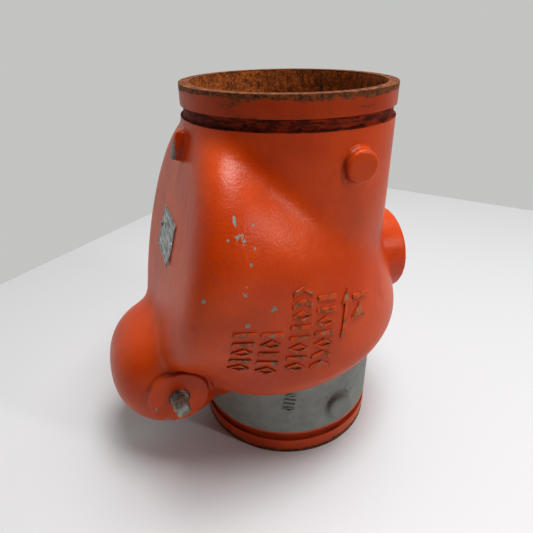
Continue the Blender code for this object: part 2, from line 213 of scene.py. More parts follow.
def placed(shape, matrix):
    """Move a bmesh by a matrix and hand it back."""
    bmesh.ops.transform(shape, matrix=matrix, verts=shape.verts)
    return shape


def along_y(origin, side=1):
    """A placing that turns +Z outwards along Y, to the far side (+1) or the near side (-1)."""
    return Matrix.Translation(origin) @ Matrix.Rotation(-side * math.pi / 2, 4, "X")


def along_x(origin):
    return Matrix.Translation(origin) @ Matrix.Rotation(math.pi / 2, 4, "Y")


def scratch(name, shapes):
    """A working object of several closed bmeshes, which stands outside the model until it is used up."""
    whole = bmesh.new()
    mesh = bpy.data.meshes.new(name)
    for shape in shapes:
        bmesh.ops.remove_doubles(shape, verts=shape.verts, dist=1e-6)
        bmesh.ops.recalc_face_normals(shape, faces=shape.faces)
        shape.to_mesh(mesh)
        shape.free()
        whole.from_mesh(mesh)
    whole.to_mesh(mesh)
    whole.free()
    item = bpy.data.objects.new(name, mesh)
    scene.collection.objects.link(item)
    return item


def take_shape(item):
    """The working object's shape as a bmesh; the object is used up."""
    shape = bmesh.new()
    shape.from_mesh(item.data)
    bpy.data.objects.remove(item, do_unlink=True)
    return shape


def settle(item):
    """Put the object's modifiers into its mesh."""
    bpy.context.view_layer.update()
    shaped = item.evaluated_get(bpy.context.evaluated_depsgraph_get())
    mesh = bpy.data.meshes.new_from_object(shaped)
    item.modifiers.clear()
    item.data = mesh


def combine(item, operation, shapes, material=None):
    """Join closed bmeshes to the object or cut them away; what they cut takes the material."""
    for shape in shapes:
        tool = scratch("tool", [shape])
        tool.data.materials.append(material or item.data.materials[0])
        step = item.modifiers.new(operation, "BOOLEAN")
        step.operation = operation
        step.solver = "MANIFOLD"
        step.object = tool
        settle(item)
        bpy.data.objects.remove(tool, do_unlink=True)


def soften(item, voxel, rounds):
    """Fuse overlapping bodies into one skin and round its corners, as a pattern's fillets do."""
    fuse = item.modifiers.new("fuse", "REMESH")
    fuse.mode = "VOXEL"
    fuse.voxel_size = voxel
    fuse.use_smooth_shade = True
    relax = item.modifiers.new("relax", "SMOOTH")
    relax.factor = 0.5
    relax.iterations = rounds
    settle(item)


def chamber(inset):
    """The space that the clapper sweeps, inset by a wall: a dished floor, circles swung about the pin,
    and the sloping side wall with its rounded corner."""
    radius = CHAMBER_R - inset
    depth = 0.040 - inset
    corner = 0.025 - inset
    shape = bmesh.new()

    def ring(angle, lift, size):
        swing = Matrix.Translation(pin) @ Matrix.Rotation(-angle, 4, "Y")
        circle = swing @ Matrix.Translation((REACH, 0, lift)) @ Matrix.Diagonal((size, size, 1, 1))
        return bmesh.ops.create_circle(shape, segments=96, radius=1, matrix=circle)["verts"]

    loops = []
    for step in range(8):
        slope = math.pi / 2 * (1 - (step + 0.35) / 8)
        loops.append(ring(SEAT_TILT, -depth * math.sin(slope), radius * math.cos(slope)))
    for step in range(17):
        angle = SEAT_TILT + (SIDE_WALL_ANGLE - SEAT_TILT) * step / 16
        loops.append(ring(angle, 0, radius))
    for step in range(9):
        turn = math.pi / 2 * step / 8
        lift = SIDE_WALL_OFFSET - 0.025 + corner * math.sin(turn)
        loops.append(ring(SIDE_WALL_ANGLE, lift, radius - corner * (1 - math.cos(turn))))
    for lower, upper in zip(loops, loops[1:]):
        edges = [edge for loop in (lower, upper) for edge in shape.edges
                 if edge.verts[0] in loop and edge.verts[1] in loop]
        bmesh.ops.bridge_loops(shape, edges=edges)
    bmesh.ops.contextual_create(shape, geom=loops[0])
    bmesh.ops.contextual_create(shape, geom=loops[-1])
    return shape


def barrel(radius, half, boss_r=None, boss_face=None):
    """The hinge barrel as a body of revolution with squared-off ends; bosses stand in from its ends."""
    outline = []
    for step in range(-11, 12):
        turn = math.pi / 2 * step / 12
        across = radius * math.cos(turn) ** (2 / 2.8)
        along = half * abs(math.sin(turn)) ** (2 / 2.8)
        outline.append((across, math.copysign(along, step)))
    depth = outline[-1][1]
    tip = [(boss_r, depth), (boss_r, boss_face), (0, boss_face)] if boss_r else [(0, half)]
    return turned([(r, -d) for r, d in reversed(tip)] + outline + tip, 72)


def block(size, centre, turn=0.0):
    """A square block, turned in the plane of the flank."""
    shape = bmesh.new()
    place = Matrix.Translation(centre) @ Matrix.Rotation(turn, 4, "Y") @ Matrix.Diagonal((*size, 1))
    bmesh.ops.create_cube(shape, size=1, matrix=place)
    return shape


# Enamel: glossy alkyd paint sprayed over rough iron, so it shows the grain of the sand under its gloss.
# The neck was left in its grey primer, and knocks have chipped the enamel down to the same primer.
enamel, tree, shader = new_material("alkyd_enamel_over_cast_iron", "#d2460f", 0.3)
shader.inputs["IOR"].default_value = 1.5
shader.inputs["Specular IOR Level"].default_value = 0.36
place = add_node(tree, "TexCoord", output="Object")
height = add_node(tree, "SeparateXYZ", [place], output="Z")
thin_film = add_node(tree, "TexNoise", [place, per_mm(70), 3])
thin_film = add_node(tree, "MapRange", [thin_film, 0.35, 0.65], interpolation_type="SMOOTHSTEP")
colour = add_node(tree, "Mix", [thin_film, linear("#c6440a"), linear("#d54f0e")], data_type="RGBA")
stain = add_node(tree, "TexNoise", [place, per_mm(24), 5, 0.65])
stained = add_node(tree, "MapRange", [stain, 0.58, 0.78, 0, 0.55], interpolation_type="SMOOTHSTEP")
colour = add_node(tree, "Mix", [stained, colour, linear("#b53a10")], data_type="RGBA")
dust = add_node(tree, "TexNoise", {"Vector": place, "Scale": per_mm(38), "Detail": 6, "Roughness": 0.72,
                                   "Distortion": 0.3})
dusty = add_node(tree, "MapRange", [dust, 0.52, 0.72, 0, 0.22], interpolation_type="SMOOTHSTEP")
colour = add_node(tree, "Mix", [dusty, colour, linear("#8f5236")], data_type="RGBA")
brown = add_node(tree, "Math", [stain, 0.030, height], operation="MULTIPLY_ADD")
brown = add_node(tree, "MapRange", [brown, valve_length - 0.020, valve_length - 0.004, 0, 0.35],
                 interpolation_type="SMOOTHSTEP")
colour = add_node(tree, "Mix", [brown, colour, linear("#7a2a10")], data_type="RGBA")

# Painted shade lies in patches at the feet of the round bosses; the two small ones are on the near side only.
HINGE_BOSS_R = 0.0330
SMALL_BOSS_R = 0.0158
SMALL_BOSSES = [flow + Vector((0.0265, 0, level)) for level in (0.065, 0.356)]
near_side = add_node(tree, "SeparateXYZ", [place], output="Y")
near_side = add_node(tree, "MapRange", [near_side, 0, -0.02], interpolation_type="SMOOTHSTEP")
shade_and_dirt = 0.0
for centre, radius in [(centre, SMALL_BOSS_R) for centre in SMALL_BOSSES] + [(pin, HINGE_BOSS_R)]:
    about = add_node(tree, "Mapping", [place, (-centre.x, 0, -centre.z), (0, 0, 0), (1, 0, 1)])
    out = add_node(tree, "VectorMath", [about], operation="LENGTH")
    ring = 1.0
    for low, high in ((radius - 0.0008, radius + 0.0004), (radius + 0.0034, radius + 0.0008)):
        edge = add_node(tree, "MapRange", [out, low, high], interpolation_type="SMOOTHSTEP")
        ring = add_node(tree, "Math", [ring, edge], operation="MULTIPLY")
    if radius == SMALL_BOSS_R:
        ring = add_node(tree, "Math", [ring, near_side], operation="MULTIPLY")
    shade_and_dirt = add_node(tree, "Math", [ring, shade_and_dirt], operation="MAXIMUM")
shade_patches = add_node(tree, "MapRange", [stain, 0.36, 0.62, 0, 0.6], interpolation_type="SMOOTHSTEP")
shade_and_dirt = add_node(tree, "Math", [shade_and_dirt, shade_patches], operation="MULTIPLY")

# Neck: grey primer from the lower groove up to the foot of the bowl, and as far as the hinge barrel.
leaning = add_node(tree, "Mapping", [place, DISC_AXIS.inverted().translation, (0, SEAT_TILT, 0)])
seat_level = add_node(tree, "SeparateXYZ", [leaning], output="Z")
wander = add_node(tree, "TexNoise", [place, per_mm(9), 3])
bowl_edge = add_node(tree, "Math", [wander, 0.004, seat_level], operation="MULTIPLY_ADD")
about_pin = add_node(tree, "Mapping", [place, -pin, (0, 0, 0), (1, 0, 1)])
from_pin = add_node(tree, "VectorMath", [about_pin], operation="LENGTH")
neck = add_node(tree, "MapRange", [bowl_edge, -0.0265, -0.0275], interpolation_type="SMOOTHSTEP")
for edge, low, high in ((height, 0.0335, 0.0342), (from_pin, 0.0665, 0.0685)):
    beyond = add_node(tree, "MapRange", [edge, low, high], interpolation_type="SMOOTHSTEP")
    neck = add_node(tree, "Math", [neck, beyond], operation="MULTIPLY")
cloud = add_node(tree, "TexNoise", [place, per_mm(14), 4, 0.6])
cloud = add_node(tree, "MapRange", [cloud, 0.3, 0.7], interpolation_type="SMOOTHSTEP")
primer = add_node(tree, "Mix", [cloud, linear("#8c8d87"), linear("#999b94")], data_type="RGBA")
grime = add_node(tree, "TexNoise", {"Vector": place, "Scale": per_mm(14), "Detail": 6, "Roughness": 0.75,
                                    "Distortion": 0.4})
grime = add_node(tree, "MapRange", [grime, 0.60, 0.70, 0, 0.5], interpolation_type="SMOOTHSTEP")
primer = add_node(tree, "Mix", [grime, primer, linear("#4b463f")], data_type="RGBA")
colour = add_node(tree, "Mix", [neck, colour, primer], data_type="RGBA")
# Painted shade: the feet of the bosses darken to brown in patches.
colour = add_node(tree, "Mix", [shade_and_dirt, colour, linear("#42261a")], data_type="RGBA")

# Chips: where knocks fell, their reach in metres, and how far each one is broken up into flakes.
CHIPS = (((-0.052, -0.122, 0.326), (0.0023, 0.02, 0.0058), 0.1),
         ((-0.048, -0.127, 0.309), (0.017, 0.02, 0.020), 0.58),
         ((-0.036, -0.130, 0.320), (0.0015, 0.02, 0.0015), 0.0),
         ((-0.060, -0.128, 0.312), (0.0015, 0.02, 0.0012), 0.0),
         ((-0.038, -0.130, 0.302), (0.0014, 0.02, 0.0020), 0.0),
         ((-0.043, -0.134, 0.290), (0.0020, 0.02, 0.0026), 0.1),
         ((-0.050, -0.138, 0.266), (0.008, 0.02, 0.022), 0.60),
         ((-0.025, -0.140, 0.244), (0.011, 0.02, 0.009), 0.45),
         ((-0.050, -0.140, 0.232), (0.006, 0.02, 0.006), 0.45),
         ((-0.086, -0.132, 0.262), (0.003, 0.02, 0.003), 0.2),
         ((-0.093, -0.120, 0.215), (0.005, 0.02, 0.009), 0.55),
         ((-0.128, -0.078, 0.079), (0.0048, 0.01, 0.0040), 0.05),
         ((-0.139, -0.078, 0.099), (0.0018, 0.01, 0.0050), 0.05),
         ((-0.166, -0.050, 0.076), (0.0045, 0.02, 0.0040), 0.20),
         ((-0.086, -0.009, 0.362), (0.0075, 0.010, 0.017), -0.30),
         ((0.022, -0.138, 0.165), (0.020, 0.02, 0.012), 0.66),
         ((0.004, -0.137, 0.195), (0.013, 0.02, 0.010), 0.62),
         ((0.060, -0.120, 0.135), (0.030, 0.02, 0.006), 0.6),
         ((-0.165, 0.030, 0.150), (0.010, 0.02, 0.010), 0.55),
         ((0.120, 0.060, 0.150), (0.014, 0.03, 0.016), 0.6),
         ((0.030, 0.138, 0.230), (0.016, 0.02, 0.012), 0.6),
         ((0.181, 0.030, 0.235), (0.006, 0.010, 0.008), 0.45))
flakes = add_node(tree, "TexNoise", {"Vector": place, "Scale": per_mm(3.4), "Detail": 4, "Roughness": 0.65,
                                     "Distortion": 0.3})
flakes = add_node(tree, "Math", [flakes, 1.6], operation="MULTIPLY")
chipped = 0.0
for centre, size, sparseness in CHIPS:
    local = add_node(tree, "Mapping", [place, [-c / s for c, s in zip(centre, size)], (0, 0, 0),
                                       [1 / s for s in size]])
    away = add_node(tree, "VectorMath", [local], operation="LENGTH")
    ragged = add_node(tree, "Math", [flakes, away], operation="SUBTRACT")
    spot = add_node(tree, "MapRange", [ragged, sparseness, sparseness + 0.08],
                    interpolation_type="SMOOTHSTEP")
    chipped = add_node(tree, "Math", [spot, chipped], operation="MAXIMUM")
colour = add_node(tree, "Mix", [chipped, colour, primer], data_type="RGBA")

# Rust creeps from the bare machined ends over the lands, in stripes that run round the pipe.
rust_grain = add_node(tree, "TexNoise", [place, per_mm(3.5), 6, 0.7])
rust_grain = add_node(tree, "MapRange", [rust_grain, 0.34, 0.64], interpolation_type="SMOOTHSTEP")
rust = add_node(tree, "Mix", [rust_grain, linear("#38200f"), linear("#94501d")], data_type="RGBA")
round_about = add_node(tree, "Mapping", [place, (0, 0, 0), (0, 0, 0), (1, 1, 5)])
creep = add_node(tree, "TexNoise", [round_about, per_mm(24), 6, 0.75])
top_edge = add_node(tree, "Math", [creep, 0.016, height], operation="MULTIPLY_ADD")
foot_edge = add_node(tree, "Math", [creep, -0.016, height], operation="MULTIPLY_ADD")
stripes = add_node(tree, "TexNoise", [round_about, per_mm(60), 5, 0.7])
stripes = add_node(tree, "MapRange", [stripes, 0.55, 0.66, 0, 0.7], interpolation_type="SMOOTHSTEP")
on_land = add_node(tree, "MapRange", [height, valve_length - END_LAND - 0.001, valve_length - END_LAND],
                   interpolation_type="SMOOTHSTEP")
stripes = add_node(tree, "Math", [stripes, on_land], operation="MULTIPLY")
end_rust = 0.0
for edge, low, high in ((top_edge, valve_length + 0.0022, valve_length + 0.0040),
                        (foot_edge, -0.0010, -0.0030)):
    crept = add_node(tree, "MapRange", [edge, low, high], interpolation_type="SMOOTHSTEP")
    end_rust = add_node(tree, "Math", [crept, end_rust], operation="MAXIMUM")
rusty = add_node(tree, "Math", [end_rust, stripes], operation="MAXIMUM")
colour = add_node(tree, "Mix", [rusty, colour, rust], data_type="RGBA")
tree.links.new(colour, shader.inputs["Base Color"])

sand = add_node(tree, "TexNoise", [place, per_mm(2.6), 2, 0.55])
swell = add_node(tree, "TexNoise", [place, per_mm(13), 2])
relief = add_node(tree, "Math", [swell, 1.6, sand], operation="MULTIPLY_ADD")
relief = add_node(tree, "Math", [chipped, -0.9, relief], operation="MULTIPLY_ADD")
bump = add_node(tree, "Bump", {"Height": relief, "Strength": 0.4, "Distance": 0.0007})
tree.links.new(bump, shader.inputs["Normal"])
dull = add_node(tree, "Math", [neck, chipped], operation="MAXIMUM")
dull = add_node(tree, "Math", [dull, end_rust], operation="MAXIMUM")
gloss = add_node(tree, "Math", [dull, 0.3, 0.30], operation="MULTIPLY_ADD")
gloss = add_node(tree, "Math", [stain, 0.12, gloss], operation="MULTIPLY_ADD")
tree.links.new(gloss, shader.inputs["Roughness"])

# Machined and raw iron: bare faces and bores that have rusted in the open, orange over nearly black,
# with long runs down the bore where water has stood and dried.
bare, tree, shader = new_material("rusted_cast_iron", "#7c3d17", 0.85)
place = add_node(tree, "TexCoord", output="Object")
runs = add_node(tree, "Mapping", [place, (0, 0, 0), (0, 0, 0), (1, 1, 0.22)])
bloom = add_node(tree, "TexNoise", {"Vector": place, "Scale": per_mm(7), "Detail": 7, "Roughness": 0.75,
                                    "Distortion": 0.5})
blooming = add_node(tree, "MapRange", [bloom, 0.38, 0.62], interpolation_type="SMOOTHSTEP")
colour = add_node(tree, "Mix", [blooming, linear("#80421a"), linear("#cf7426")], data_type="RGBA")
pits = add_node(tree, "TexNoise", [place, per_mm(2.4), 3, 0.6])
streaks = add_node(tree, "TexNoise", [runs, per_mm(9), 6, 0.7])
bright = add_node(tree, "TexNoise", [runs, per_mm(5), 5, 0.7])
for pattern, low, high, most, tint in ((streaks, 0.54, 0.68, 1, "#35211a"), (pits, 0.60, 0.68, 1, "#1c110d"),
                                       (bright, 0.60, 0.72, 0.7, "#d0762c")):
    mask = add_node(tree, "MapRange", [pattern, low, high, 0, most], interpolation_type="SMOOTHSTEP")
    colour = add_node(tree, "Mix", [mask, colour, linear(tint)], data_type="RGBA")
scorched = add_node(tree, "SeparateXYZ", [place], output="Z")
scorched = add_node(tree, "MapRange", [scorched, valve_length - 0.0009, valve_length - 0.0004, 0, 0.85],
                    interpolation_type="SMOOTHSTEP")
patchy = add_node(tree, "TexNoise", [place, per_mm(5), 6, 0.75])
patchy = add_node(tree, "MapRange", [patchy, 0.34, 0.56], interpolation_type="SMOOTHSTEP")
scorched = add_node(tree, "Math", [scorched, patchy], operation="MULTIPLY")
colour = add_node(tree, "Mix", [scorched, colour, linear("#4a2a19")], data_type="RGBA")
tree.links.new(colour, shader.inputs["Base Color"])
scale = add_node(tree, "Math", [pits, 0.7, bloom], operation="MULTIPLY_ADD")
bump = add_node(tree, "Bump", {"Height": scale, "Strength": 0.8, "Distance": 0.0012})
tree.links.new(bump, shader.inputs["Normal"])

# Groove paint: enamel that has worn thin in the coupling grooves, brown and black in their corners.
worn, tree, shader = new_material("worn_enamel_in_groove", "#6b2413", 0.65)
shader.inputs["Specular IOR Level"].default_value = 0.2
place = add_node(tree, "TexCoord", output="Object")
bands = add_node(tree, "Mapping", [place, (0, 0, 0), (0, 0, 0), (1, 1, 4)])
patches = add_node(tree, "TexNoise", [bands, per_mm(26), 5, 0.7])
thin = add_node(tree, "MapRange", [patches, 0.42, 0.62], interpolation_type="SMOOTHSTEP")
colour = add_node(tree, "Mix", [thin, linear("#5a1b0b"), linear("#a83a10")], data_type="RGBA")
shade_and_dirt = add_node(tree, "TexNoise", [bands, per_mm(11), 6, 0.75])
dirty = add_node(tree, "MapRange", [shade_and_dirt, 0.54, 0.66], interpolation_type="SMOOTHSTEP")
colour = add_node(tree, "Mix", [dirty, colour, linear("#1b0d08")], data_type="RGBA")
low_down = add_node(tree, "SeparateXYZ", [place], output="Z")
low_down = add_node(tree, "MapRange", [low_down, 0.20, 0.10, 0, 0.85], interpolation_type="SMOOTHSTEP")
sound = add_node(tree, "MapRange", [patches, 0.62, 0.45], interpolation_type="SMOOTHSTEP")
sound = add_node(tree, "Math", [low_down, sound], operation="MULTIPLY")
colour = add_node(tree, "Mix", [sound, colour, linear("#b8400f")], data_type="RGBA")
tree.links.new(colour, shader.inputs["Base Color"])
bump = add_node(tree, "Bump", {"Height": shade_and_dirt, "Strength": 0.6, "Distance": 0.0006})
tree.links.new(bump, shader.inputs["Normal"])

# Marks paint: the enamel on the raised marks, rubbed thin on their tops and knocked through to primer.
rubbed, tree, shader = new_material("rubbed_enamel_on_marks", "#c8480f", 0.38)
shader.inputs["Specular IOR Level"].default_value = 0.3
place = add_node(tree, "TexCoord", output="Object")
rub = add_node(tree, "TexNoise", [place, per_mm(7), 5, 0.7])
thin = add_node(tree, "MapRange", [rub, 0.46, 0.60], interpolation_type="SMOOTHSTEP")
colour = add_node(tree, "Mix", [thin, linear("#d2500f"), linear("#7c4a22")], data_type="RGBA")
flakes = add_node(tree, "TexNoise", {"Vector": place, "Scale": per_mm(5), "Detail": 4, "Roughness": 0.7,
                                     "Distortion": 0.4})
flakes = add_node(tree, "MapRange", [flakes, 0.58, 0.62], interpolation_type="SMOOTHSTEP")
colour = add_node(tree, "Mix", [flakes, colour, linear("#84897c")], data_type="RGBA")
tree.links.new(colour, shader.inputs["Base Color"])
bump = add_node(tree, "Bump", {"Height": rub, "Strength": 0.4, "Distance": 0.0005})
tree.links.new(bump, shader.inputs["Normal"])

casting = scratch("body_casting_skin", [
    chamber(0), placed(rod(PIPE_R, -0.03, valve_length + 0.03), Matrix.Translation(flow)),
    placed(barrel(0.069, 0.072), along_y(pin))])
casting.data.materials.append(enamel)
soften(casting, 0.0030, 120)
swell_back = casting.modifiers.new("swell_back", "DISPLACE")
swell_back.strength = 0.0010
swell_back.mid_level = 0
settle(casting)
for side in (-1, 1):
    combine(casting, "DIFFERENCE", [placed(rod(0.039, BOSS_FACE - 0.004, 0.14), along_y(pin, side))])
lug = block((0.014, 0.010, 0.028), (pin.x + 0.0390, -0.008, 0.364), math.pi / 2 - SIDE_WALL_ANGLE)
ear = bmesh.new()
bmesh.ops.create_uvsphere(ear, u_segments=32, v_segments=16, radius=1,
                          matrix=Matrix.Translation((pin.x + 0.0395, -0.0075, 0.365))
                          @ Matrix.Rotation(math.pi / 2 - SIDE_WALL_ANGLE, 4, "Y")
                          @ Matrix.Diagonal((0.0080, 0.0085, 0.0150, 1)))
bosses = [placed(rod(HINGE_BOSS_R, 0.055, BOSS_FACE, 96), along_y(pin, side)) for side in (-1, 1)]
bosses.append(placed(rod(0.053, 0.06, 0.138, 96), along_x(flow + Vector((0, 0, 0.207)))))
bosses += [placed(rod(SMALL_BOSS_R, 0.095, 0.1168, 64), along_y(centre, -1)) for centre in SMALL_BOSSES]
casting = scratch("body_casting_skin", [take_shape(casting), lug, ear, *bosses])
for material in (enamel, rubbed, bare, worn):
    casting.data.materials.append(material)
soften(casting, 0.0018, 5)

# Marks cast into the pattern, generic ones: columns of lozenges, bars and chevrons, an arrow along the
# flow and a wedge. A column gives its lowest mark's place across and up the flank, in mm.
LEAN = math.radians(9.5)
LOZENGE = [(-10.5, 0), (0, -6), (10.5, 0), (0, 6)]
BAR = [(-10.5, -2.1), (10.5, -2.1), (10.5, 2.1), (-10.5, 2.1)]
CHEVRON = [(-10.5, -5), (0, 0.5), (10.5, -5), (10.5, -0.8), (0, 4.7), (-10.5, -0.8)]
ARROW = [(-1.9, -24), (1.9, -24), (1.9, 12), (6, 12), (0, 26), (-6, 12), (-1.9, 12)]
WEDGE = [(-9, -6), (9, -6), (0, 8)]
COLUMNS = ((-57, 172, (LOZENGE, BAR, LOZENGE, BAR, BAR)),
           (-31, 166, (LOZENGE, BAR, BAR, LOZENGE, BAR)),
           (-2, 168, (LOZENGE, BAR, LOZENGE, BAR, BAR, LOZENGE, CHEVRON, CHEVRON)),
           (24, 167, (CHEVRON, CHEVRON, LOZENGE, BAR, LOZENGE, BAR, BAR)))
MARKS = [(outline, across + 1.1 * step, level + 12.4 * step)
         for across, level, column in COLUMNS for step, outline in enumerate(column)]
MARKS += [(ARROW, 52, 216), (WEDGE, 70, 214), (BAR, 73, 229)]
NECK_MARKS = [(LOZENGE, -22, 74), (BAR, -21, 82), (LOZENGE, 6, 74), (BAR, 7, 81), (BAR, 8, 87),
              (LOZENGE, 9, 95)]


def prism(side, outline, across, level, size=1.0):
    """A mark's outline driven through the near flank (-1) or the far one (1)."""
    shape = bmesh.new()
    face = shape.faces.new([shape.verts.new((x * size / 1000, -0.03, z * size / 1000)) for x, z in outline])
    if outline is LOZENGE:
        face.normal_update()
        bmesh.ops.inset_individual(shape, faces=[face], thickness=0.0031 * size)
        bmesh.ops.delete(shape, geom=[face], context="FACES")
    grown = bmesh.ops.extrude_face_region(shape, geom=shape.faces[:])["geom"]
    bmesh.ops.translate(shape, vec=(0, 0.06, 0),
                        verts=[v for v in grown if isinstance(v, bmesh.types.BMVert)])
    middle = Matrix.Translation((across / 1000, side * 0.130, level / 1000))
    return placed(shape, middle @ Matrix.Rotation(LEAN, 4, "Y"))


def raise_marks(item, shapes, rise, material):
    """Stand marks up from the skin: their prisms are cut off just above it, then joined to it."""
    above = item.copy()
    above.data = item.data.copy()
    scene.collection.objects.link(above)
    lift = above.modifiers.new("lift", "DISPLACE")
    lift.strength = rise
    lift.mid_level = 0
    settle(above)
    prisms = scratch("prisms", shapes)
    prisms.data.materials.append(enamel)
    trim = prisms.modifiers.new("trim", "BOOLEAN")
    trim.operation = "INTERSECT"
    trim.solver = "MANIFOLD"
    trim.object = above
    settle(prisms)
    prisms.data.materials.clear()
    prisms.data.materials.append(material)
    join = item.modifiers.new("join", "BOOLEAN")
    join.operation = "UNION"
    join.solver = "MANIFOLD"
    join.object = prisms
    settle(item)
    for used in (above, prisms):
        bpy.data.objects.remove(used, do_unlink=True)


thin = casting.modifiers.new("thin", "DECIMATE")
thin.ratio = 0.32
settle(casting)
raise_marks(casting, [prism(side, *mark) for side in (-1, 1) for mark in MARKS], 0.0015, rubbed)
raise_marks(casting, [prism(-1, *mark, 0.6) for mark in NECK_MARKS], 0.0018, enamel)

# The cavities: the chamber, the barrel's inside, the bores, the seat's counterbore, the pin bores with
# their plug ports, the faced ends and the coupling grooves.
inlet = placed(rod(BORE_R, -0.01, 0.25, 128), Matrix.Translation(flow))
cut = bmesh.ops.bisect_plane(inlet, geom=inlet.verts[:] + inlet.edges[:] + inlet.faces[:],
                             plane_co=TIPPED @ Vector((REACH, 0, -0.0410)),
                             plane_no=TIPPED.to_3x3() @ Vector((0, 0, 1)), clear_outer=True)
bmesh.ops.contextual_create(inlet, geom=[e for e in cut["geom_cut"] if isinstance(e, bmesh.types.BMEdge)])
hollows = [chamber(WALL), placed(barrel(0.060, 0.063, 0.019, 0.050), along_y(pin)), inlet,
           placed(rod(0.0960, -0.0420, -0.0240, 112), DISC_AXIS),
           placed(rod(0.1043, -0.0330, -0.0120, 120), DISC_AXIS),
           placed(rod(BORE_R, 0.2, valve_length + 0.04, 128), Matrix.Translation(flow))]
for side in (-1, 1):
    port = turned([(0, 0.04), (0.0103, 0.04), (0.0103, BOSS_FACE - 0.0105), (0.0110, BOSS_FACE - 0.0105),
                   (0.0110, BOSS_FACE - 0.0010), (0.0118, BOSS_FACE), (0.0118, 0.09), (0, 0.09)], 48)
    hollows.append(placed(port, along_y(pin, side)))
for level in (valve_length, -0.06):
    hollows.append(placed(rod(0.2, 0, 0.06, 24), Matrix.Translation(flow + Vector((0, 0, level)))))
combine(casting, "DIFFERENCE", hollows, bare)
for foot in (END_LAND, valve_length - END_LAND - GROOVE_WIDTH):
    top = foot + GROOVE_WIDTH
    groove = turned([(GROOVE_R, foot + 0.0006), (GROOVE_R + 0.0006, foot), (PIPE_R - 0.0004, foot),
                     (PIPE_R + 0.02, foot - 0.0008), (PIPE_R + 0.02, top + 0.0008), (PIPE_R - 0.0004, top),
                     (GROOVE_R + 0.0006, top), (GROOVE_R, top - 0.0006)], 160)
    combine(casting, "DIFFERENCE", [placed(groove, Matrix.Translation(flow))], worn)
body_materials = list(casting.data.materials)
casting = finish_piece("body_casting_skin", take_shape(casting), *body_materials, slot="orange_enamel",
                       sharp=38)
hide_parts("body_casting")

# Seat ring: cast bronze, pressed into the counterbore and turned in place; it has dulled to brown,
# with faint rings left by the tool.
bronze, tree, shader = new_material("turned_bronze", "#9a6a35", 0.38, 1.0)
place = add_node(tree, "TexCoord", output="Object")
tarnish = add_node(tree, "TexNoise", [place, per_mm(18), 5, 0.65])
brown = add_node(tree, "MapRange", [tarnish, 0.42, 0.66], interpolation_type="SMOOTHSTEP")
colour = add_node(tree, "Mix", [brown, linear("#b07c40"), linear("#5f4126")], data_type="RGBA")
tree.links.new(colour, shader.inputs["Base Color"])
sheen = add_node(tree, "Math", [tarnish, 0.35, 0.28], operation="MULTIPLY_ADD")
tree.links.new(sheen, shader.inputs["Roughness"])
on_axis = add_node(tree, "Mapping", [place, DISC_AXIS.inverted().translation, (0, SEAT_TILT, 0)])
rings = add_node(tree, "TexWave", [on_axis, per_mm(2.2)], output="Fac", wave_type="RINGS",
                 rings_direction="Z")
bump = add_node(tree, "Bump", {"Height": rings, "Strength": 0.25, "Distance": 0.0002})
tree.links.new(bump, shader.inputs["Normal"])


def finish_node(material, *names):
    """Give CAD nodes whose shape is right their real finish."""
    for name in names:
        mesh = frame["nodes"][name].data
        if not mesh.materials:
            mesh.materials.append(material)
        for index in range(len(mesh.materials)):
            mesh.materials[index] = material


finish_node(bronze, "seat_ring")
finish_node(bronze, "body_bush_front", "body_bush_rear", "arm_bush_front", "arm_bush_rear")

# Seal ring and O-ring: moulded black nitrile rubber, matt, with a dusty bloom. The seal is clamped
# under the clapper; a bead stands along its edge where the mould parted.
rubber, tree, shader = new_material("nitrile_rubber", "#151515", 0.7)
place = add_node(tree, "TexCoord", output="Object")
dust = add_node(tree, "TexNoise", [place, per_mm(12), 5, 0.7])
dust = add_node(tree, "MapRange", [dust, 0.45, 0.75], interpolation_type="SMOOTHSTEP")
colour = add_node(tree, "Mix", [dust, linear("#111111"), linear("#2a2825")], data_type="RGBA")
tree.links.new(colour, shader.inputs["Base Color"])
skin_grain = add_node(tree, "TexNoise", [place, per_mm(1.5)])
bump = add_node(tree, "Bump", {"Height": skin_grain, "Strength": 0.2, "Distance": 0.0002})
tree.links.new(bump, shader.inputs["Normal"])
finish_node(rubber, "seat_o_ring")
SEAL_FOOT, SEAL_TOP = -0.0127, -0.0063
seal = turned([(0.0880, SEAL_FOOT + 0.0006), (0.0886, SEAL_FOOT), (0.1000, SEAL_FOOT),
               (0.1010, SEAL_FOOT + 0.0004), (0.1015, SEAL_FOOT + 0.0012), (0.1015, -0.0092),
               (0.1018, -0.0089), (0.1015, -0.0086), (0.1015, SEAL_TOP), (0.0880, SEAL_TOP)], 128)
seal = finish_piece("disc_seal_moulded", seal, rubber, body="disc", slot="black_rubber", matrix=DISC_AXIS)
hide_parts("disc_seal")

# Turned stainless parts: the pin, its spacers, the plate that clamps the seal, and the washer. Fine
# lathe lines show across them, and water has left a thin brown film.
stainless, tree, shader = new_material("turned_stainless_steel", "#a5a39e", 0.32, 1.0)
place = add_node(tree, "TexCoord", output="Object")
film = add_node(tree, "TexNoise", [place, per_mm(14), 5, 0.7])
dried = add_node(tree, "MapRange", [film, 0.50, 0.78], interpolation_type="SMOOTHSTEP")
colour = add_node(tree, "Mix", [dried, linear("#a9a7a2"), linear("#6e5a45")], data_type="RGBA")
tree.links.new(colour, shader.inputs["Base Color"])
sheen = add_node(tree, "Math", [film, 0.3, 0.22], operation="MULTIPLY_ADD")
tree.links.new(sheen, shader.inputs["Roughness"])
lathe = add_node(tree, "TexNoise", [place, per_mm(1.2), 3])
bump = add_node(tree, "Bump", {"Height": lathe, "Strength": 0.15, "Distance": 0.0002})
tree.links.new(bump, shader.inputs["Normal"])
finish_node(stainless, "hinge_pin", "hinge_spacer_front", "hinge_spacer_rear", "seal_retainer", "disc_washer")

